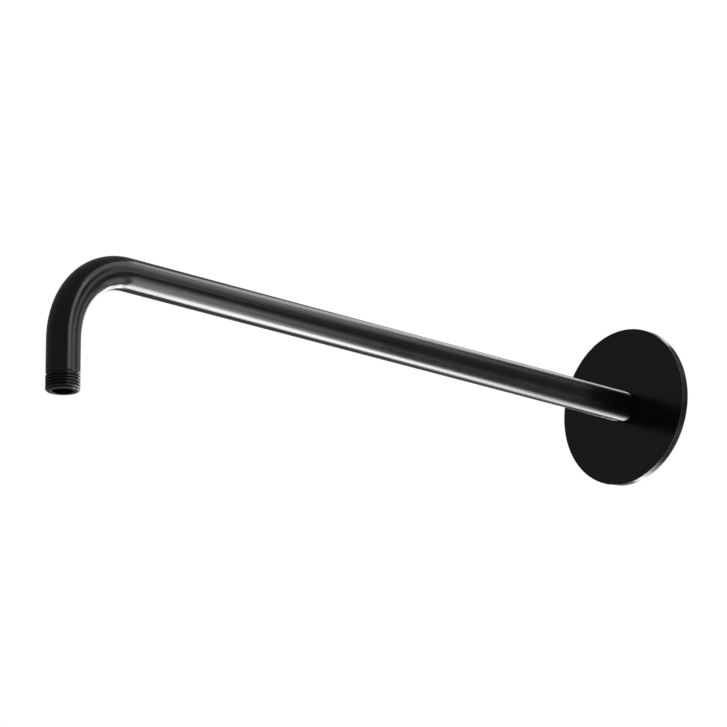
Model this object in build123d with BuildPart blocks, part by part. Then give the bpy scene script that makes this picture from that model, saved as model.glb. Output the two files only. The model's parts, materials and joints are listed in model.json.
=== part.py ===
from build123d import *

import os
from math import isclose

# Wall-mounted shower arm with its round cover flange.
# Millimetres. The wall is the plane Y = 0, the arm leaves it towards -Y and +Z is up.
# The origin is the centre of the arm on the wall, behind the flange.

# Arm tube
TUBE_DIAMETER = 20.5
TUBE_WALL = 1.5
REACH = 500.0  # from the wall to the axis of the outlet
BEND_RADIUS = 49.0  # to the centre line of the tube
DROP = 80.5  # from the centre line of the arm down to the mouth
BEHIND_WALL = 2.0  # how far the arm's full diameter passes the wall plane

# Turned ends, brazed into the tube
COLLAR_LENGTH = 2.5  # flush with the tube, which butts against it
COLLAR_CHAMFER = 0.4
SHANK_LENGTH = 10.0
SHANK_WALL = 1.95
BRAZE_GAP = 0.05
THREAD_MAJOR = 20.955  # G 1/2 pipe thread
THREAD_MINOR = 18.631
THREAD_RUN_OUT = 0.4  # bevel of the thread beside its relief
RELIEF_WIDTH = 0.8
RELIEF_UNDERCUT = 0.05  # below the root of the thread
OUTLET_STUB = 10.6  # relief and thread together, beyond the collar
INLET_STUB = 16.0
MOUTH_CHAMFER = 0.15  # inner edge of the water way

# Cover flange
FLANGE_DIAMETER = 104.0
FLANGE_THICKNESS = 5.4
FLANGE_PLATE = 2.0  # the face, in front of the relieved back
FLANGE_RIM = 3.0  # land that lies on the wall
FLANGE_FRONT_BREAK = 0.9  # bevel round the face
FLANGE_BACK_BREAK = 0.4
BOSS_WALL = 3.0  # around the seal groove
BOSS_SETBACK = 0.6  # from the wall plane
BORE_BREAK = 0.3
THREAD_PASS_CLEARANCE = 0.17  # lets the flange pass over a thread

# Seal ring between the flange and the tube
SEAL_GROOVE_DEPTH = 1.35
SEAL_SIDES = 12  # flats of its section, of which two lie squeezed on tube and groove
SEAL_SIDE_CLEARANCE = 0.2
SEAL_RUNNING_CLEARANCE = 0.02

# Sizes that follow from the ones above
tube_radius = TUBE_DIAMETER / 2
tube_bore_radius = tube_radius - TUBE_WALL
shank_radius = tube_bore_radius - BRAZE_GAP
water_way_radius = shank_radius - SHANK_WALL
thread_radius = THREAD_MAJOR / 2
root_radius = THREAD_MINOR / 2
relief_radius = root_radius - RELIEF_UNDERCUT
tube_back = BEHIND_WALL - COLLAR_LENGTH
tube_foot = -(DROP - OUTLET_STUB - COLLAR_LENGTH)
bend_start = -(REACH - BEND_RADIUS)

flange_radius = FLANGE_DIAMETER / 2
rim_radius = flange_radius - FLANGE_RIM
flange_bore_radius = max(thread_radius, tube_radius) + THREAD_PASS_CLEARANCE
groove_radius = flange_bore_radius + SEAL_GROOVE_DEPTH
boss_radius = groove_radius + BOSS_WALL
boss_back = -BOSS_SETBACK
flange_front = -FLANGE_THICKNESS
plate_back = flange_front + FLANGE_PLATE
seal_inner_radius = tube_radius + SEAL_RUNNING_CLEARANCE
seal_cord = groove_radius - seal_inner_radius
seal_middle = (flange_front + boss_back) / 2
groove_width = seal_cord + 2 * SEAL_SIDE_CLEARANCE


def turned_end(seat, stub_length):
    """A turned end: shank, collar, relief and thread along the seat's y axis, its collar butting at y = 0."""
    thread_start = COLLAR_LENGTH + RELIEF_WIDTH
    mouth = COLLAR_LENGTH + stub_length
    with BuildPart() as end:
        with BuildSketch(seat):
            with BuildLine():
                Polyline(
                    (water_way_radius, -SHANK_LENGTH),
                    (shank_radius, -SHANK_LENGTH),
                    (shank_radius, 0),
                    (tube_radius, 0),
                    (tube_radius, COLLAR_LENGTH - COLLAR_CHAMFER),
                    (tube_radius - COLLAR_CHAMFER, COLLAR_LENGTH),
                    (relief_radius, COLLAR_LENGTH),
                    (relief_radius, thread_start),
                    (thread_radius - THREAD_RUN_OUT, thread_start),
                    (thread_radius, thread_start + THREAD_RUN_OUT),
                    (thread_radius, mouth - (thread_radius - root_radius)),
                    (root_radius, mouth),
                    (water_way_radius + MOUTH_CHAMFER, mouth),
                    (water_way_radius, mouth - MOUTH_CHAMFER),
                    close=True,
                )
            make_face()
        revolve(axis=Axis(seat.origin, seat.y_dir))
    return end.part


def ring_edges(piece, radius, height):
    """The round edges of a turned piece at this radius and this distance along Y."""
    rings = piece.edges().filter_by(GeomType.CIRCLE)
    return rings.filter_by(
        lambda edge: isclose(edge.radius, radius, abs_tol=1e-6)
        and isclose(edge.arc_center.Y, height, abs_tol=1e-6)
    )


# Arm tube: one section carried along the straight run, the quarter bend and the drop
with BuildPart() as arm_tube:
    with BuildLine(Plane.YZ):
        run = Line((tube_back, 0), (bend_start, 0))
        bend = JernArc(start=run @ 1, tangent=run % 1, radius=BEND_RADIUS, arc_size=90)
        Line(bend @ 1, (-REACH, tube_foot))
    with BuildSketch(Plane.XZ.offset(-tube_back)):
        Circle(tube_radius)
        Circle(tube_bore_radius, mode=Mode.SUBTRACT)
    sweep()
arm_tube.part.label = "arm_tube"

# Outlet end: its collar butts against the foot of the drop and its thread points down
outlet_nipple = turned_end(Plane((0, -REACH, tube_foot), x_dir=(1, 0, 0), z_dir=(0, 1, 0)), OUTLET_STUB)
outlet_nipple.label = "outlet_nipple"

# Inlet end: the same turning with a longer thread, pointing into the wall
inlet_nipple = turned_end(Plane((0, tube_back, 0), x_dir=(1, 0, 0), z_dir=(0, 0, 1)), INLET_STUB)
inlet_nipple.label = "inlet_nipple"

# Cover flange: a turned disc with a relieved back, a rim that lies on the wall and a bored boss
with BuildPart() as wall_flange:
    with BuildSketch(Plane.XY):
        with BuildLine():
            Polyline(
                (flange_bore_radius, flange_front),
                (flange_radius, flange_front),
                (flange_radius, 0),
                (rim_radius, 0),
                (rim_radius, plate_back),
                (boss_radius, plate_back),
                (boss_radius, boss_back),
                (flange_bore_radius, boss_back),
                close=True,
            )
        make_face()
        with Locations((groove_radius, seal_middle)):
            Rectangle(
                2 * SEAL_GROOVE_DEPTH,
                groove_width,
                align=(Align.MAX, Align.CENTER),
                mode=Mode.SUBTRACT,
            )
    revolve(axis=Axis.Y)
    chamfer(ring_edges(wall_flange, flange_radius, flange_front), FLANGE_FRONT_BREAK)
    chamfer(ring_edges(wall_flange, flange_radius, 0), FLANGE_BACK_BREAK)
    bore_edges = ring_edges(wall_flange, flange_bore_radius, flange_front)
    bore_edges += ring_edges(wall_flange, flange_bore_radius, boss_back)
    chamfer(bore_edges, BORE_BREAK)
wall_flange.part.label = "wall_flange"

# Seal ring: rubber, squeezed flat on the tube and on the floor of the flange's groove
with BuildPart() as flange_o_ring:
    with BuildSketch(Plane.XY):
        with Locations((seal_inner_radius + seal_cord / 2, seal_middle)):
            RegularPolygon(seal_cord / 2, SEAL_SIDES, major_radius=False, rotation=180 / SEAL_SIDES)
    revolve(axis=Axis.Y)
flange_o_ring.part.label = "flange_o_ring"

os.makedirs("parts", exist_ok=True)
for piece in (arm_tube.part, outlet_nipple, inlet_nipple, wall_flange.part, flange_o_ring.part):
    export_step(piece, f"parts/{piece.label}.step")
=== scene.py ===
"""Shower arm with its cover flange: surfaces, finishes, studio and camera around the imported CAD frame.

Metres in the CAD frame: the wall is the plane Y = 0, the arm leaves it towards -Y and +Z is up.
Sizes that a maker would read off a drawing are in millimetres, and say so.
"""

import json
import logging
import math
from dataclasses import dataclass
from enum import Enum
from functools import partial

import bpy
import numpy as np
from mathutils import Matrix, Vector


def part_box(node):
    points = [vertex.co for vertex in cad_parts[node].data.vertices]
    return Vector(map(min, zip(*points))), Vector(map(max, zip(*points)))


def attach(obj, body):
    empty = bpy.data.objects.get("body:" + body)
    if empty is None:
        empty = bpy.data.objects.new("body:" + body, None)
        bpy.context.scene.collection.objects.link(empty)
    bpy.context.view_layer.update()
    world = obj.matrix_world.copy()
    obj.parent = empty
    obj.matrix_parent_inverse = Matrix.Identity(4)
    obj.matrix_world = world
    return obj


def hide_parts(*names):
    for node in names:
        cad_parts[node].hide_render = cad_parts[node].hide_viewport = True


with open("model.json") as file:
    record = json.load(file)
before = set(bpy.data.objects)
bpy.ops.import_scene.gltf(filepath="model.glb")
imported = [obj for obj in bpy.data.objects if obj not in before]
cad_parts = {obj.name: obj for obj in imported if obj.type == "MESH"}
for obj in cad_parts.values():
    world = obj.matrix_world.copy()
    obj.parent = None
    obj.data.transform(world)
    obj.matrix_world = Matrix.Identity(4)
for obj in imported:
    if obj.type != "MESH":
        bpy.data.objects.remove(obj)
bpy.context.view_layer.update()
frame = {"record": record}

log = logging.getLogger("shower_arm")

MM = 0.001
TOLERANCE_MM = 1e-6  # lengths this close count as equal
WHITE = "#ffffff"

# Sockets that share a name with another go by number: these are a Mix node's sockets for colour
MIX_SHARE = 0
MIX_FIRST = 6
MIX_SECOND = 7
MIX_COLOUR = 2

Point = tuple[float, float, float]
Corner = tuple[float, float, float]
Inputs = dict[str | int, object]


class Body(str, Enum):
    """The two bodies of the frame: the fixed arm, and the flange that slides on it."""

    ARM = "arm"
    FLANGE = "flange"


class Slot(str, Enum):
    """The record's material slots."""

    COATED_BRASS = "black_coated_brass"
    SEAL = "seal_rubber"


# Surfaces


@dataclass(frozen=True)
class Seat:
    """Where a turned piece sits: its origin in metres, its axis, and a direction square to the axis."""

    origin: Point
    axis: Point
    across: Point = (1.0, 0.0, 0.0)

    def place(self, along: np.ndarray, radius: np.ndarray, angle: np.ndarray) -> np.ndarray:
        """Carry turned coordinates into the frame.

        Formula: a point is origin + along * axis + radius * (cos(angle) * across + sin(angle) * up), where
        up is square to axis and across.

        Args:
            along: Distance along the axis in millimetres, one per row.
            radius: Radius in millimetres, rows by columns, or rows by 1 where it is the same all round.
            angle: Angle about the axis in radians, right-handed, one per column.

        Returns:
            Points in metres, rows by columns by 3.
        """
        axis, across = np.array(self.axis), np.array(self.across)
        up = np.cross(axis, across)
        spoke = np.cos(angle)[:, None] * across + np.sin(angle)[:, None] * up
        return np.array(self.origin) + MM * (along[:, None, None] * axis + radius[:, :, None] * spoke)


def around(columns: int) -> np.ndarray:
    """Equal angles over one full turn, the last one a step short of the first."""
    return np.arange(columns) * (2 * math.pi / columns)


def rounded_outline(corners: list[Corner], arc_steps: int = 6) -> np.ndarray:
    """Round the corners of a closed outline.

    Formula: with a and b the unit edges leaving a corner, and h half the angle between them, the arc of
    radius r has its centre on the bisector at r / sin(h) and touches the edges at r / tan(h). Its points
    turn evenly from the first touching point to the second.

    Args:
        corners: (along, radius, rounding) of each corner in millimetres, in order.
        arc_steps: Steps of each rounding.

    Returns:
        (along, radius) points in millimetres, one per row.
    """
    table = np.array(corners)
    point, rounding = table[:, :2], table[:, 2:]
    back = np.roll(point, 1, axis=0) - point
    onward = np.roll(point, -1, axis=0) - point
    back /= np.linalg.norm(back, axis=1, keepdims=True)
    onward /= np.linalg.norm(onward, axis=1, keepdims=True)
    half = np.arccos(np.sum(back * onward, axis=1, keepdims=True)) / 2
    bisector = (back + onward) / np.linalg.norm(back + onward, axis=1, keepdims=True)
    centre = point + bisector * rounding / np.sin(half)
    first = point + back * rounding / np.tan(half) - centre
    last = point + onward * rounding / np.tan(half) - centre
    turn = math.pi - 2 * half[:, :, None]
    share = np.linspace(0, 1, arc_steps + 1)[None, :, None]
    arc = np.sin((1 - share) * turn) * first[:, None] + np.sin(share * turn) * last[:, None]
    return (centre[:, None] + arc / np.sin(turn)).reshape(-1, 2)


def divided(outline: np.ndarray, spacing: np.ndarray) -> np.ndarray:
    """Divide the edges of a closed outline evenly, so that none is longer than its spacing.

    Args:
        outline: (along, radius) points in millimetres.
        spacing: Longest step allowed on the edge that leaves each point.

    Returns:
        The outline with its added points.
    """
    onward = np.roll(outline, -1, axis=0) - outline
    parts = np.maximum(1, np.ceil(np.linalg.norm(onward, axis=1) / spacing)).astype(int)
    edge = np.repeat(np.arange(len(outline)), parts)
    step = np.arange(len(edge)) - np.repeat(np.cumsum(parts) - parts, parts)
    return outline[edge] + onward[edge] * (step / parts[edge])[:, None]


def ring_mesh(name: str, points: np.ndarray, sharp_degrees: float) -> bpy.types.Mesh:
    """Make a closed quad mesh from a grid that runs round in both directions, its faces outward.

    Formula: the face of row i and column j joins (i, j), (i, j + 1), (i + 1, j + 1) and (i + 1, j), and row
    and column numbers run round. The volume, a sixth of the sum of corner triple products, is positive when
    the faces point outward. Otherwise the corners of each face are taken the other way round.

    Args:
        name: Name of the mesh.
        points: Rows by columns by 3, in metres.
        sharp_degrees: Edges that bend more than this stay crisp.

    Returns:
        The smooth-shaded mesh.
    """
    flat = points.reshape(-1, 3)
    here = np.arange(len(flat)).reshape(points.shape[:2])
    below = np.roll(here, -1, axis=0)
    corners = (here, np.roll(here, -1, axis=1), np.roll(below, -1, axis=1), below)
    faces = np.stack(corners, axis=-1).reshape(-1, 4)
    p, q, r, s = flat[faces].transpose(1, 0, 2)
    volume = np.sum(np.cross(p, q) * r + np.cross(p, r) * s) / 6
    if volume < 0:
        faces = faces[:, ::-1]
    mesh = bpy.data.meshes.new(name)
    mesh.from_pydata(flat.tolist(), [], faces.tolist())
    mesh.shade_smooth()
    mesh.set_sharp_from_angle(angle=math.radians(sharp_degrees))
    return mesh


# Materials


def linear(hex_colour: str) -> tuple[float, float, float, float]:
    """Turn an sRGB hex colour into linear RGBA.

    Formula: the curve of the sRGB standard, a straight line near black and a power of 2.4 above it.

    Args:
        hex_colour: Colour as #rrggbb.

    Returns:
        Linear red, green, blue and an alpha of 1.
    """
    srgb = np.array([int(hex_colour[i:i + 2], 16) for i in (1, 3, 5)]) / 255
    red, green, blue = np.where(srgb <= 0.04045, srgb / 12.92, ((srgb + 0.055) / 1.055) ** 2.4).tolist()
    return red, green, blue, 1.0


def per_metre(size_mm: float) -> float:
    """The texture scale that makes a pattern's features this many millimetres wide."""
    return 1 / (size_mm * MM)


def add_node(tree: bpy.types.NodeTree, kind: str, settings: dict[str, object] | None = None,
             inputs: Inputs | None = None) -> bpy.types.Node:
    """Add one node, set its properties, and set or link its inputs.

    Args:
        tree: Tree that gets the node.
        kind: Node type.
        settings: Properties by name.
        inputs: Values, or sockets to link from, by input name or number.

    Returns:
        The new node.
    """
    node = tree.nodes.new(kind)
    for name, value in (settings or {}).items():
        setattr(node, name, value)
    for name, value in (inputs or {}).items():
        if isinstance(value, bpy.types.NodeSocket):
            tree.links.new(value, node.inputs[name])
        else:
            node.inputs[name].default_value = value
    return node


def empty_material(name: str) -> bpy.types.Material:
    """Make a material that has no nodes yet.

    Args:
        name: Name of the material.

    Returns:
        The material.
    """
    made = bpy.data.materials.new(name)
    made.use_nodes = True
    made.node_tree.nodes.clear()
    return made


@dataclass(frozen=True)
class Finish:
    """A surface finish, drawn once as a material and worn by any number of pieces."""

    name: str
    slot: Slot

    def surface(self, tree: bpy.types.NodeTree, where: bpy.types.NodeSocket) -> bpy.types.NodeSocket:
        """Draw the finish; each finish has its own way."""
        raise NotImplementedError

    def material(self) -> bpy.types.Material:
        """Make the finish's material on first use, and find it again after that.

        Returns:
            The material.
        """
        made = bpy.data.materials.get(self.name)
        if made is None:
            made = empty_material(self.name)
            tree = made.node_tree
            where = add_node(tree, "ShaderNodeTexCoord").outputs["Object"]
            add_node(tree, "ShaderNodeOutputMaterial", inputs={"Surface": self.surface(tree, where)})
        return made


@dataclass(frozen=True)
class SatinBlackCoat(Finish):
    """Satin black stove enamel sprayed on polished brass.

    It gives the eye an even, near-black body with soft-edged reflections: a faint orange peel from the
    spray, a fine grain from the matting agent, and cloudy patches where the film is a little duller.
    """

    name: str = "satin_black_enamel_on_brass"
    slot: Slot = Slot.COATED_BRASS
    body: str = "#050506"
    thin: str = "#070708"
    cloud_mm: float = 14.0
    peel_mm: float = 2.2
    peel_height_mm: float = 0.0008
    grain_mm: float = 0.3  # the real grain is about 0.05 mm, drawn coarser so that it shows
    grain_height_mm: float = 0.0003
    smooth: float = 0.16
    dull: float = 0.20
    ior: float = 1.5

    def surface(self, tree: bpy.types.NodeTree, where: bpy.types.NodeSocket) -> bpy.types.NodeSocket:
        """Draw the enamel: clouds tint and dull it, peel and grain make its relief.

        Args:
            tree: The material's nodes.
            where: Object coordinates.

        Returns:
            The shader's output.
        """
        cloud = add_node(tree, "ShaderNodeTexNoise", inputs={
            "Vector": where, "Scale": per_metre(self.cloud_mm), "Detail": 3.0, "Roughness": 0.55})
        peel = add_node(tree, "ShaderNodeTexNoise", inputs={
            "Vector": where, "Scale": per_metre(self.peel_mm), "Detail": 1.0, "Roughness": 0.4})
        grain = add_node(tree, "ShaderNodeTexNoise", inputs={
            "Vector": where, "Scale": per_metre(self.grain_mm), "Detail": 2.0, "Roughness": 0.6})
        tint = add_node(tree, "ShaderNodeMix", {"data_type": "RGBA"}, {
            MIX_SHARE: cloud.outputs["Fac"], MIX_FIRST: linear(self.body), MIX_SECOND: linear(self.thin)})
        rough = add_node(tree, "ShaderNodeMapRange", inputs={
            "Value": cloud.outputs["Fac"], "From Min": 0.3, "From Max": 0.7,
            "To Min": self.smooth, "To Max": self.dull})
        waves = add_node(tree, "ShaderNodeBump", inputs={
            "Strength": 1.0, "Distance": self.peel_height_mm * MM, "Height": peel.outputs["Fac"]})
        relief = add_node(tree, "ShaderNodeBump", inputs={
            "Strength": 1.0, "Distance": self.grain_height_mm * MM, "Height": grain.outputs["Fac"],
            "Normal": waves.outputs["Normal"]})
        return add_node(tree, "ShaderNodeBsdfPrincipled", inputs={
            "Base Color": tint.outputs[MIX_COLOUR], "Roughness": rough.outputs["Result"], "IOR": self.ior,
            "Normal": relief.outputs["Normal"]}).outputs["BSDF"]


@dataclass(frozen=True)
class CutThreadCoat(SatinBlackCoat):
    """The same enamel on the threads, which are cut and not polished.

    It gives the eye duller, wider highlights than the enamel on the polished brass.
    """

    name: str = "satin_black_enamel_on_cut_brass"
    smooth: float = 0.22
    dull: float = 0.28


@dataclass(frozen=True)
class MouldedRubber(Finish):
    """Black nitrile rubber as it leaves the mould.

    It gives the eye a dull, slightly grey black with a faint bloom and the fine frosting of the mould.
    """

    name: str = "moulded_nitrile_rubber"
    slot: Slot = Slot.SEAL
    body: str = "#121212"
    bloom: str = "#1c1c1d"
    bloom_mm: float = 3.0
    frost_mm: float = 0.25  # the mould's frosting is about 0.05 mm, drawn coarser so that it shows
    frost_height_mm: float = 0.004
    smooth: float = 0.5
    dull: float = 0.65
    ior: float = 1.52

    def surface(self, tree: bpy.types.NodeTree, where: bpy.types.NodeSocket) -> bpy.types.NodeSocket:
        """Draw the rubber: bloom tints and dulls it, frosting makes its relief.

        Args:
            tree: The material's nodes.
            where: Object coordinates.

        Returns:
            The shader's output.
        """
        bloom = add_node(tree, "ShaderNodeTexNoise", inputs={
            "Vector": where, "Scale": per_metre(self.bloom_mm), "Detail": 3.0})
        frost = add_node(tree, "ShaderNodeTexNoise", inputs={
            "Vector": where, "Scale": per_metre(self.frost_mm), "Detail": 2.0})
        tint = add_node(tree, "ShaderNodeMix", {"data_type": "RGBA"}, {
            MIX_SHARE: bloom.outputs["Fac"], MIX_FIRST: linear(self.body), MIX_SECOND: linear(self.bloom)})
        rough = add_node(tree, "ShaderNodeMapRange", inputs={
            "Value": bloom.outputs["Fac"], "To Min": self.smooth, "To Max": self.dull})
        relief = add_node(tree, "ShaderNodeBump", inputs={
            "Strength": 1.0, "Distance": self.frost_height_mm * MM, "Height": frost.outputs["Fac"]})
        return add_node(tree, "ShaderNodeBsdfPrincipled", inputs={
            "Base Color": tint.outputs[MIX_COLOUR], "Roughness": rough.outputs["Result"], "IOR": self.ior,
            "Normal": relief.outputs["Normal"]}).outputs["BSDF"]


# The object


@dataclass(kw_only=True)
class Piece:
    """One physical piece: it stands for a node of the frame, rides on a body and wears a finish."""

    name: str
    node: str
    body: Body
    finish: Finish
    sharp_degrees: float = 30.0

    def points(self) -> np.ndarray:
        """The piece's surface; each piece has its own formula."""
        raise NotImplementedError

    def build(self) -> bpy.types.Object:
        """Make the piece's object, put it in place of its node and dress it.

        Returns:
            The finished object, with its place in its mesh.
        """
        mesh = ring_mesh(self.name, self.points(), self.sharp_degrees)
        made = bpy.data.objects.new(self.name, mesh)
        bpy.context.scene.collection.objects.link(made)
        normals = made.modifiers.new("flat_faces_stay_flat", "WEIGHTED_NORMAL")
        normals.mode = "FACE_AREA"
        normals.weight = 100
        normals.keep_sharp = True
        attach(made, self.body.value)
        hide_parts(self.node)
        self.dress(made)
        faces = len(mesh.polygons)
        log.info("%s: %d faces, stands for %s on body %s", self.name, faces, self.node, self.body.value)
        return made

    def dress(self, made: bpy.types.Object) -> None:
        """Give the piece its finish."""
        made.data.materials.append(self.finish.material())


@dataclass(kw_only=True)
class ArmTube(Piece):
    """The bent tube: straight run, quarter bend and drop in one piece."""

    radius_mm: float
    back_mm: float
    reach_mm: float
    foot_mm: float
    wall_mm: float = 1.5
    bend_radius_mm: float = 49.0
    run_rows: int = 25
    bend_rows: int = 73
    drop_rows: int = 5
    columns: int = 144

    def centre_line(self) -> tuple[np.ndarray, np.ndarray]:
        """Work out the path of the tube's axis in the plane X = 0, and the direction that is up on the run.

        Formula: the run keeps Z = 0. In the bend the upward direction n turns from +Z to -Y, and the axis is
        the bend's centre plus the bend radius times n. The drop keeps Y at the reach.

        Returns:
            Axis points in millimetres and unit n, both rows by 3.
        """
        start = -(self.reach_mm - self.bend_radius_mm)
        run = np.linspace(self.back_mm, start, self.run_rows)[:-1]
        turn = np.linspace(0, math.pi / 2, self.bend_rows)
        drop = np.linspace(-self.bend_radius_mm, self.foot_mm, self.drop_rows)[1:]
        angle = np.concatenate([np.zeros_like(run), turn, np.full_like(drop, math.pi / 2)])
        up = np.stack([np.zeros_like(angle), -np.sin(angle), np.cos(angle)], axis=1)
        axis = np.array([0.0, start, -self.bend_radius_mm]) + self.bend_radius_mm * up
        axis[:len(run), 1] = run
        axis[len(run) + len(turn):, 2] = drop
        return axis, up

    def points(self) -> np.ndarray:
        """Work out the tube's skin, out along the outer wall and back along the inner one.

        Formula: a point is axis + radius * (cos(u) * X + sin(u) * n), with u the angle round the tube.

        Returns:
            Points in metres, rows by columns by 3.
        """
        axis, up = self.centre_line()
        angle = around(self.columns)
        sideways = np.array([1.0, 0.0, 0.0])
        spoke = np.cos(angle)[:, None] * sideways + np.sin(angle)[:, None] * up[:, None, :]
        outer = axis[:, None] + self.radius_mm * spoke
        inner = axis[:, None] + (self.radius_mm - self.wall_mm) * spoke
        return MM * np.concatenate([outer, inner[::-1]])


@dataclass(kw_only=True)
class TurnedPiece(Piece):
    """A piece turned about an axis, which is the run's own unless it says otherwise."""

    seat: Seat = Seat((0.0, 0.0, 0.0), (0.0, 1.0, 0.0))
    columns: int = 192
    spacing_mm: float = 2.5

    def corners(self) -> list[Corner]:
        """The turned outline: (along, radius, rounding) of each corner in millimetres."""
        raise NotImplementedError

    def points(self) -> np.ndarray:
        """Work out the turned skin: the rounded outline carried round the axis.

        Returns:
            Points in metres, rows by columns by 3.
        """
        outline = rounded_outline(self.corners())
        outline = divided(outline, np.full(len(outline), self.spacing_mm))
        return self.seat.place(outline[:, 0], outline[:, 1:], around(self.columns))


@dataclass(kw_only=True)
class ThreadedEnd(TurnedPiece):
    """A turned end brazed into the tube: shank, collar, relief and a right-hand male thread.

    The thread has the standard's form: its depth and its rounding are shares of the pitch.
    """

    cut_finish: Finish
    tube_radius_mm: float
    thread_radius_mm: float
    mouth_mm: float
    shank_length_mm: float = 10.0
    shank_radius_mm: float = 8.7
    shank_edge_mm: float = 0.1
    shoulder_edge_mm: float = 0.02
    bore_radius_mm: float = 6.75
    collar_mm: float = 2.5
    collar_chamfer_mm: float = 0.4
    collar_round_mm: float = 0.3
    collar_edge_mm: float = 0.08
    relief_mm: float = 0.8
    relief_undercut_mm: float = 0.05
    relief_round_mm: float = 0.15
    run_out_mm: float = 0.4
    thread_edge_mm: float = 0.05
    mouth_chamfer_mm: float = 0.15
    mouth_round_mm: float = 0.12
    mouth_edge_mm: float = 0.05
    pitch_mm: float = 1.814
    depth_share: float = 0.640327
    rounding_share: float = 0.137329
    thread_angle_degrees: float = 55.0
    crest_flat_mm: float = 0.14  # how far the crests are turned down flat, within the standard's tolerance
    crest_mm: float = 0.23  # a crest's distance from the back of the collar, at angle 0
    coat_mm: float = 0.08  # thickness of the enamel, which narrows the grooves
    cut_margin_mm: float = 0.1  # how far below the thread's root a face still counts as cut
    rows_per_pitch: int = 24

    @property
    def root_radius_mm(self) -> float:
        """Radius at the bottom of the thread."""
        return self.thread_radius_mm - self.depth_share * self.pitch_mm

    @property
    def thread_start_mm(self) -> float:
        """Where the thread begins, beyond the relief."""
        return self.collar_mm + self.relief_mm

    def corners(self) -> list[Corner]:
        """List the corners from the inner end of the shank round by the outside and back through the bore.

        Returns:
            (along, radius, rounding) of each corner in millimetres.
        """
        relief = self.root_radius_mm - self.relief_undercut_mm
        crest = self.thread_radius_mm - self.crest_flat_mm
        return [
            (-self.shank_length_mm, self.bore_radius_mm, self.shank_edge_mm),
            (-self.shank_length_mm, self.shank_radius_mm, self.shank_edge_mm),
            (0.0, self.shank_radius_mm, self.shoulder_edge_mm),
            (0.0, self.tube_radius_mm, self.shoulder_edge_mm),
            (self.collar_mm - self.collar_chamfer_mm, self.tube_radius_mm, self.collar_round_mm),
            (self.collar_mm, self.tube_radius_mm - self.collar_chamfer_mm, self.collar_edge_mm),
            (self.collar_mm, relief, self.relief_round_mm),
            (self.thread_start_mm, relief, self.relief_round_mm),
            (self.thread_start_mm, crest - self.run_out_mm, self.thread_edge_mm),
            (self.thread_start_mm + self.run_out_mm, crest, self.thread_edge_mm),
            (self.mouth_mm - (crest - self.root_radius_mm), crest, self.thread_edge_mm),
            (self.mouth_mm, self.root_radius_mm, self.mouth_round_mm),
            (self.mouth_mm, self.bore_radius_mm + self.mouth_chamfer_mm, self.mouth_edge_mm),
            (self.mouth_mm - self.mouth_chamfer_mm, self.bore_radius_mm, self.mouth_edge_mm),
        ]

    def thread_mm(self, along: np.ndarray, angle: np.ndarray) -> np.ndarray:
        """Work out the radius of the coated thread, before its crests are turned down.

        Formula: t is the distance along the axis from the nearest crest, which climbs one pitch per
        right-hand turn, and f is half the angle between the flanks. Crest and root are rounded by the
        radius r. The coat c keeps the centres of these circles and changes their radii to a = r + c and
        b = r - c. Near the crest the radius is thread radius - r + sqrt(a^2 - t^2). Near the root it is
        root radius + r - sqrt(b^2 - u^2), with u the distance from the root. Between them the flank falls
        by cot(f) per unit of t.

        Args:
            along: Distance along the axis in millimetres.
            angle: Angle about the axis in radians.

        Returns:
            Radius in millimetres, with the arguments' broadcast shape.
        """
        rounding = self.rounding_share * self.pitch_mm
        flank = math.radians(self.thread_angle_degrees / 2)
        turns = (along - self.crest_mm) / self.pitch_mm - angle / (2 * math.pi)
        t = np.abs((turns + 0.5) % 1 - 0.5) * self.pitch_mm
        from_root = self.pitch_mm / 2 - t
        outer, inner = rounding + self.coat_mm, rounding - self.coat_mm
        crest_edge, root_edge = outer * math.cos(flank), inner * math.cos(flank)
        top, bottom = self.thread_radius_mm - rounding, self.root_radius_mm + rounding
        crest = top + np.sqrt(np.maximum(outer ** 2 - t ** 2, 0))
        root = bottom - np.sqrt(np.maximum(inner ** 2 - from_root ** 2, 0))
        side = top + outer * math.sin(flank) - (t - crest_edge) / math.tan(flank)
        return np.select([t <= crest_edge, from_root <= root_edge], [crest, root], side)

    def points(self) -> np.ndarray:
        """Work out the turned skin, cut down to the thread wherever the thread lies below the blank.

        Returns:
            Points in metres, rows by columns by 3.
        """
        start, root = self.thread_start_mm - TOLERANCE_MM, self.root_radius_mm
        outline = rounded_outline(self.corners())
        onward = np.roll(outline, -1, axis=0)
        threaded = np.minimum(outline[:, 0], onward[:, 0]) >= start
        threaded &= np.minimum(outline[:, 1], onward[:, 1]) >= root - TOLERANCE_MM
        outline = divided(outline, np.where(threaded, self.pitch_mm / self.rows_per_pitch, self.spacing_mm))
        along, blank = outline[:, :1], outline[:, 1:]
        angle = around(self.columns)
        inside = (along >= start) & (blank >= root)
        cut = np.minimum(blank, self.thread_mm(along, angle))
        return self.seat.place(along[:, 0], np.where(inside, cut, blank), angle)

    def dress(self, made: bpy.types.Object) -> None:
        """Give the piece its finish, and the faces that the threading tool cut their own.

        Args:
            made: The piece's object.
        """
        super().dress(made)
        made.data.materials.append(self.cut_finish.material())
        middle = np.empty(3 * len(made.data.polygons))
        made.data.polygons.foreach_get("center", middle)
        axis = np.array(self.seat.axis)
        offset = middle.reshape(-1, 3) - np.array(self.seat.origin)
        along = offset @ axis
        radius = np.linalg.norm(offset - along[:, None] * axis, axis=1)
        deepest = (self.root_radius_mm - self.cut_margin_mm) * MM
        cut = (along > self.thread_start_mm * MM) & (radius > deepest)
        made.data.polygons.foreach_set("material_index", cut.astype(np.int32))


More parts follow.
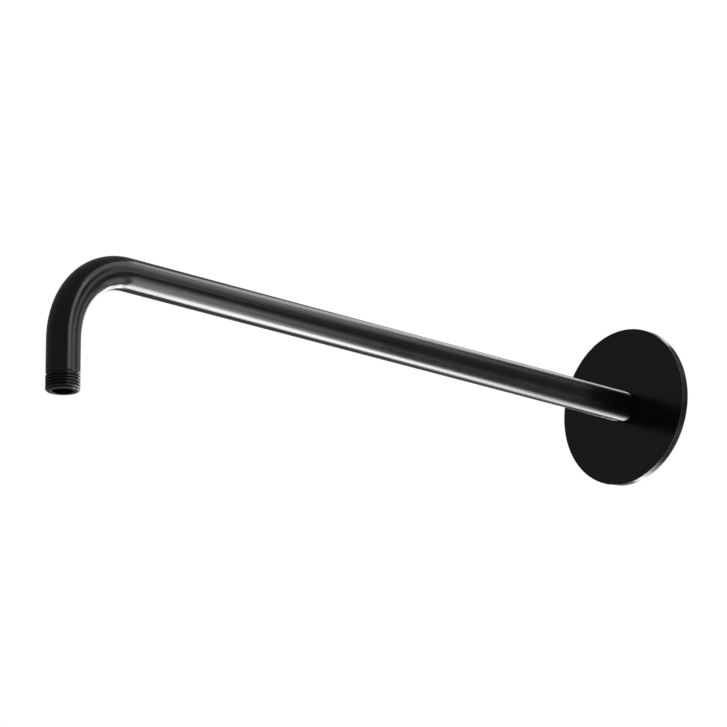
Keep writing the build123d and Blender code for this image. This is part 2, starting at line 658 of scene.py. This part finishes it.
@dataclass(kw_only=True)
class CoverFlange(TurnedPiece):
    """The turned cover flange: flat face, square rim, relieved back, and a bored boss with a seal groove."""

    columns: int = 288
    spacing_mm: float = 4.0
    radius_mm: float
    thickness_mm: float
    groove_radius_mm: float
    plate_mm: float = 2.0
    rim_mm: float = 3.0
    face_edge_mm: float = 0.75
    back_edge_mm: float = 0.4
    rim_edge_mm: float = 0.3
    recess_round_mm: float = 0.8
    bore_radius_mm: float = 10.6475
    bore_edge_mm: float = 0.3
    groove_width_mm: float = 2.1275
    groove_edge_mm: float = 0.08
    groove_round_mm: float = 0.2
    boss_wall_mm: float = 3.0
    boss_back_mm: float = -0.6
    boss_edge_mm: float = 0.3

    def corners(self) -> list[Corner]:
        """List the corners from the bore across the face to the rim, and back behind it.

        Returns:
            (along, radius, rounding) of each corner in millimetres.
        """
        front = -self.thickness_mm
        back = front + self.plate_mm
        rim = self.radius_mm - self.rim_mm
        boss = self.groove_radius_mm + self.boss_wall_mm
        middle = (front + self.boss_back_mm) / 2
        near, far = middle - self.groove_width_mm / 2, middle + self.groove_width_mm / 2
        return [
            (front, self.bore_radius_mm, self.bore_edge_mm),
            (front, self.radius_mm, self.face_edge_mm),
            (0.0, self.radius_mm, self.back_edge_mm),
            (0.0, rim, self.rim_edge_mm),
            (back, rim, self.recess_round_mm),
            (back, boss, self.recess_round_mm),
            (self.boss_back_mm, boss, self.boss_edge_mm),
            (self.boss_back_mm, self.bore_radius_mm, self.bore_edge_mm),
            (far, self.bore_radius_mm, self.groove_edge_mm),
            (far, self.groove_radius_mm, self.groove_round_mm),
            (near, self.groove_radius_mm, self.groove_round_mm),
            (near, self.bore_radius_mm, self.groove_edge_mm),
        ]


@dataclass(kw_only=True)
class SealRing(TurnedPiece):
    """The rubber ring in the flange's groove, squeezed flat on the tube and on the floor of the groove."""

    middle_mm: float
    outer_radius_mm: float
    inner_radius_mm: float = 10.27
    bulge: float = 1.03
    section_rows: int = 48

    def points(self) -> np.ndarray:
        """Work out the ring's skin.

        Formula: the section is a circle, larger by the bulge than the room for it, cut off flat inside and
        outside.

        Returns:
            Points in metres, rows by columns by 3.
        """
        half = (self.outer_radius_mm - self.inner_radius_mm) / 2
        turn = around(self.section_rows)
        along = self.middle_mm + half * self.bulge * np.sin(turn)
        radius = (self.inner_radius_mm + half) + np.clip(half * self.bulge * np.cos(turn), -half, half)
        return self.seat.place(along, radius[:, None], around(self.columns))


@dataclass(frozen=True)
class ShowerArm:
    """The whole object in its finishes, its sizes read from the frame."""

    coat: Finish = SatinBlackCoat()
    cut_coat: Finish = CutThreadCoat()
    rubber: Finish = MouldedRubber()

    def pieces(self) -> list[Piece]:
        """List the five pieces, each sized from its node and from the mounts of the record.

        Returns:
            The pieces in building order.
        """
        mounts = {mount["name"]: mount for mount in frame["record"]["mounts"]}
        outlet_y = mounts["outlet_thread"]["pos_m"][1]
        thread_radius = mounts["outlet_thread"]["dims"]["r_mm"]
        tube_low, tube_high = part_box("arm_tube")
        outlet_low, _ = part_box("outlet_nipple")
        _, inlet_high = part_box("inlet_nipple")
        flange_low, flange_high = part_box("wall_flange")
        seal_low, seal_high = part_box("flange_o_ring")
        tube_radius = tube_high.x / MM
        back, foot = tube_high.y / MM, tube_low.z / MM
        seal_radius = seal_high.x / MM
        end = partial(
            ThreadedEnd, body=Body.ARM, finish=self.coat, cut_finish=self.cut_coat,
            tube_radius_mm=tube_radius, thread_radius_mm=thread_radius)
        return [
            ArmTube(
                name="tube_run_bend_and_drop", node="arm_tube", body=Body.ARM, finish=self.coat,
                radius_mm=tube_radius, back_mm=back, reach_mm=-outlet_y / MM, foot_mm=foot),
            end(name="threaded_outlet", node="outlet_nipple", mouth_mm=foot - outlet_low.z / MM,
                seat=Seat((0.0, outlet_y, tube_low.z), (0.0, 0.0, -1.0))),
            end(name="threaded_inlet", node="inlet_nipple", mouth_mm=inlet_high.y / MM - back,
                seat=Seat((0.0, tube_high.y, 0.0), (0.0, 1.0, 0.0))),
            CoverFlange(
                name="cover_flange", node="wall_flange", body=Body.FLANGE, finish=self.coat,
                radius_mm=flange_high.x / MM, thickness_mm=(flange_high.y - flange_low.y) / MM,
                groove_radius_mm=seal_radius),
            SealRing(
                name="flange_seal_ring", node="flange_o_ring", body=Body.FLANGE, finish=self.rubber,
                middle_mm=(seal_low.y + seal_high.y) / 2 / MM, outer_radius_mm=seal_radius),
        ]

    def build(self) -> dict[str, bpy.types.Object]:
        """Build and dress every piece, and give the objects by name."""
        return {piece.name: piece.build() for piece in self.pieces()}


# Studio


class Side(Enum):
    """The sides of the studio that lights hang on.

    Each is the number of the axis square to the side, and the side's place on that axis in metres.
    """

    RIGHT = (0, 1.5)
    BACK = (1, 2.6)
    FAR_BACK = (1, 6.0)
    ABOVE = (2, 1.5)
    BELOW = (2, -1.6)


@dataclass(frozen=True)
class SoftBox:
    """A soft box: an even rectangle of light, flat on one side of the studio and hidden from the camera."""

    name: str
    side: Side
    centre: tuple[float, float]
    turn_degrees: float
    length: float
    width: float
    radiance: float
    past_flange: bool = False
    spares_outlet: bool = False

    def hang(self, flange: bpy.types.Collection, outlet: bpy.types.Collection) -> bpy.types.Object:
        """Hang the box, facing inward, its length turned from the side's first axis to its second.

        Formula: the power of an even rectangle is its radiance times pi times its area.

        Args:
            flange: What doesn't stop the light of a box that shines past the flange.
            outlet: What a box that spares the outlet doesn't light.

        Returns:
            The lamp.
        """
        lamp = bpy.data.lights.new(self.name, "AREA")
        lamp.shape = "RECTANGLE"
        lamp.size, lamp.size_y = self.length, self.width
        lamp.energy = self.radiance * math.pi * self.length * self.width
        square, level = self.side.value
        first, second = (axis for axis in range(3) if axis != square)
        place, outward, along = Vector(), Vector(), Vector()
        place[square], place[first], place[second] = level, *self.centre
        outward[square] = math.copysign(1, level)
        turned = math.radians(self.turn_degrees)
        along[first], along[second] = math.cos(turned), math.sin(turned)
        facing = Matrix((along, outward.cross(along), outward)).transposed().to_4x4()
        made = bpy.data.objects.new(self.name, lamp)
        made.matrix_world = Matrix.Translation(place) @ facing
        made.visible_camera = False
        if self.past_flange:
            made.light_linking.blocker_collection = flange
        if self.spares_outlet:
            made.light_linking.receiver_collection = outlet
        bpy.context.scene.collection.objects.link(made)
        log.info("%s: %.2f by %.2f m", self.name, self.length, self.width)
        return made


# The lights, placed by where the arm mirrors them; sizes in metres, and a radiance of 1 is white
SOFT_BOXES = (
    SoftBox("right_upright_box", Side.RIGHT, centre=(-0.4, 0.9), turn_degrees=75.0,
            length=1.4, width=0.5, radiance=2.3),
    SoftBox("overhead_wide_box", Side.ABOVE, centre=(1.05, 0.55), turn_degrees=125.0,
            length=1.9, width=1.1, radiance=1.3),
    SoftBox("overhead_bright_box", Side.ABOVE, centre=(-0.4, 1.35), turn_degrees=145.0,
            length=1.7, width=0.5, radiance=2.2, past_flange=True),
    SoftBox("overhead_fade_box", Side.RIGHT, centre=(1.6, 1.6), turn_degrees=45.0,
            length=2.0, width=0.6, radiance=1.0),
    SoftBox("right_small_box", Side.RIGHT, centre=(0.4, 0.3), turn_degrees=30.0,
            length=1.2, width=0.65, radiance=1.2),
    SoftBox("low_right_box", Side.RIGHT, centre=(0.55, -0.9), turn_degrees=140.0,
            length=1.25, width=1.1, radiance=1.5),
    SoftBox("low_right_floor_box", Side.BELOW, centre=(0.95, 1.0), turn_degrees=0.0,
            length=2.0, width=0.5, radiance=4.2),
    SoftBox("low_back_near_box", Side.BELOW, centre=(-0.3, 1.05), turn_degrees=140.0,
            length=1.6, width=0.55, radiance=8.0, past_flange=True),
    SoftBox("low_back_far_box", Side.BELOW, centre=(-0.75, 2.3), turn_degrees=145.0,
            length=1.0, width=1.4, radiance=3.3, past_flange=True),
    SoftBox("back_low_panel", Side.BACK, centre=(-1.2, -1.3), turn_degrees=45.0,
            length=1.5, width=0.75, radiance=6.2, past_flange=True),
    SoftBox("back_high_panel", Side.BACK, centre=(-1.7, -0.2), turn_degrees=20.0,
            length=1.25, width=1.55, radiance=3.3, past_flange=True, spares_outlet=True),
    SoftBox("back_wide_panel", Side.BACK, centre=(0.4, 0.5), turn_degrees=35.0,
            length=2.95, width=1.6, radiance=0.6),
    SoftBox("back_low_weak_panel", Side.BACK, centre=(1.0, -1.05), turn_degrees=30.0,
            length=1.65, width=1.2, radiance=1.0),
    SoftBox("low_back_middle_box", Side.BELOW, centre=(-0.35, 1.15), turn_degrees=170.0,
            length=0.65, width=0.8, radiance=5.4, past_flange=True),
    SoftBox("low_corner_box", Side.RIGHT, centre=(1.5, -1.6), turn_degrees=120.0,
            length=1.4, width=0.25, radiance=4.0),
    SoftBox("far_bright_strip", Side.FAR_BACK, centre=(-1.75, -3.85), turn_degrees=147.5,
            length=2.75, width=0.8, radiance=9.3, past_flange=True),
    SoftBox("far_weak_strip", Side.FAR_BACK, centre=(2.6, -3.6), turn_degrees=30.0,
            length=3.2, width=0.8, radiance=1.3),
)


def left_out(name: str, piece: bpy.types.Object) -> bpy.types.Collection:
    """Make a collection that leaves a piece out of what a lamp lights, or of what stops its light.

    Args:
        name: Name of the collection.
        piece: The piece that is left out.

    Returns:
        The collection.
    """
    made = bpy.data.collections.new(name)
    made.objects.link(piece)
    made.collection_objects[0].light_linking.link_state = "EXCLUDE"
    return made


def stage_piece(name: str, points: np.ndarray, faces: list[tuple[int, ...]]) -> bpy.types.Object:
    """Add a piece of the stage.

    Args:
        name: Name of the object.
        points: Corners in metres.
        faces: Corner numbers of each face.

    Returns:
        The object.
    """
    mesh = bpy.data.meshes.new(name)
    mesh.from_pydata(points.tolist(), [], faces)
    made = bpy.data.objects.new(name, mesh)
    bpy.context.scene.collection.objects.link(made)
    return made


@dataclass(frozen=True)
class Studio:
    """A room of grey cloths with soft boxes, a pale floor and a white world."""

    ambient: float = 0.5
    cloth_radiance: float = 0.19
    room_half: float = 7.0
    floor_middle: Point = (0.0, -0.25, -2.1)
    floor_radius: float = 1.5
    floor_solid: float = 0.6  # radius within which the floor doesn't fade
    floor_sides: int = 96
    floor_colour: str = "#f4f4f2"
    floor_roughness: float = 0.6

    def world(self) -> None:
        """Make a white world for what is seen directly or mirrored, and a plain ambient for the rest."""
        world = bpy.data.worlds.new("white_studio")
        world.use_nodes = True
        tree = world.node_tree
        tree.nodes.clear()
        path = add_node(tree, "ShaderNodeLightPath").outputs
        mirrored = add_node(tree, "ShaderNodeMath", {"operation": "ADD"}, {
            0: path["Is Glossy Ray"], 1: path["Is Transmission Ray"]})
        shown = add_node(tree, "ShaderNodeMath", {"operation": "ADD", "use_clamp": True}, {
            0: path["Is Camera Ray"], 1: mirrored.outputs[0]})
        soft = add_node(tree, "ShaderNodeBackground", inputs={
            "Color": linear(WHITE), "Strength": self.ambient})
        white = add_node(tree, "ShaderNodeBackground", inputs={"Color": linear(WHITE), "Strength": 1.0})
        both = add_node(tree, "ShaderNodeMixShader", inputs={
            0: shown.outputs[0], 1: soft.outputs[0], 2: white.outputs[0]})
        add_node(tree, "ShaderNodeOutputWorld", inputs={"Surface": both.outputs[0]})
        bpy.context.scene.world = world

    def floor(self) -> None:
        """Lay a round pale floor at the height of a shower tray, which fades out towards its rim."""
        angle = around(self.floor_sides)
        rim = self.floor_radius * np.stack([np.cos(angle), np.sin(angle), np.zeros_like(angle)], axis=1)
        made = stage_piece("floor", rim + np.array(self.floor_middle), [tuple(range(self.floor_sides))])
        material = empty_material("pale_floor_paint")
        tree = material.node_tree
        where = add_node(tree, "ShaderNodeTexCoord").outputs["Object"]
        away = add_node(tree, "ShaderNodeVectorMath", {"operation": "DISTANCE"}, {
            0: where, 1: self.floor_middle})
        fade = add_node(tree, "ShaderNodeMapRange", {"interpolation_type": "SMOOTHSTEP"}, {
            "Value": away.outputs["Value"], "From Min": self.floor_solid, "From Max": self.floor_radius})
        paint = add_node(tree, "ShaderNodeBsdfPrincipled", inputs={
            "Base Color": linear(self.floor_colour), "Roughness": self.floor_roughness})
        clear = add_node(tree, "ShaderNodeBsdfTransparent")
        both = add_node(tree, "ShaderNodeMixShader", inputs={
            0: fade.outputs["Result"], 1: paint.outputs["BSDF"], 2: clear.outputs["BSDF"]})
        add_node(tree, "ShaderNodeOutputMaterial", inputs={"Surface": both.outputs[0]})
        made.data.materials.append(material)

    def room(self) -> None:
        """Hang grey cloths all round the object, which it mirrors between the soft boxes.

        Formula: the three bits of a corner's number say on which side it lies along X, Y and Z.
        """
        corners = self.room_half * np.where(np.arange(8)[:, None] & np.array([1, 2, 4]), 1.0, -1.0)
        faces = [(0, 2, 6, 4), (0, 1, 5, 4), (0, 1, 3, 2), (4, 5, 7, 6), (1, 3, 7, 5), (2, 3, 7, 6)]
        made = stage_piece("grey_cloths", corners, faces)
        material = empty_material("grey_cloth")
        material.cycles.emission_sampling = "NONE"
        tree = material.node_tree
        glow = add_node(tree, "ShaderNodeEmission", inputs={
            "Color": linear(WHITE), "Strength": self.cloth_radiance})
        add_node(tree, "ShaderNodeOutputMaterial", inputs={"Surface": glow.outputs["Emission"]})
        made.data.materials.append(material)
        made.visible_camera = made.visible_diffuse = made.visible_shadow = False

    def build(self, flange: bpy.types.Object, outlet: bpy.types.Object) -> None:
        """Set up world, floor, room and lights.

        Args:
            flange: The piece that some of the boxes shine past.
            outlet: The piece that one of the boxes spares, so that its thread stays dark against the white.
        """
        self.world()
        self.floor()
        self.room()
        shone_past = left_out("shone_past", flange)
        spared = left_out("spared", outlet)
        for box in SOFT_BOXES:
            box.hang(shone_past, spared)


@dataclass(frozen=True)
class PhotoCamera:
    """The camera at the photograph's place: below the arm, in front and to the right of it."""

    eye: Point = (2.0624, -2.3605, -0.7924)
    azimuth_degrees: float = 44.325
    elevation_degrees: float = -14.727
    sensor_mm: float = 36.0
    lens_mm: float = 243.05
    nearest: float = 0.1
    farthest: float = 50.0

    def set_up(self) -> bpy.types.Object:
        """Make the camera and give it to the scene.

        Returns:
            The camera.
        """
        camera = bpy.data.cameras.new("photo_camera")
        camera.sensor_width, camera.lens = self.sensor_mm, self.lens_mm
        camera.clip_start, camera.clip_end = self.nearest, self.farthest
        made = bpy.data.objects.new("photo_camera", camera)
        turn, rise = math.radians(self.azimuth_degrees), math.radians(self.elevation_degrees)
        ahead = Vector((-math.sin(turn) * math.cos(rise), math.cos(turn) * math.cos(rise), -math.sin(rise)))
        made.location = self.eye
        made.rotation_euler = ahead.to_track_quat("-Z", "Y").to_euler()
        bpy.context.scene.collection.objects.link(made)
        bpy.context.scene.camera = made
        return made


def main() -> None:
    """Build the object, the studio and the camera in order."""
    logging.basicConfig(level=logging.INFO, format="%(name)s: %(message)s")
    bpy.context.scene.view_settings.view_transform = "Standard"
    made = ShowerArm().build()
    log.info("%d pieces built", len(made))
    Studio().build(made["cover_flange"], made["threaded_outlet"])
    PhotoCamera().set_up()


if __name__ == "__main__":
    main()
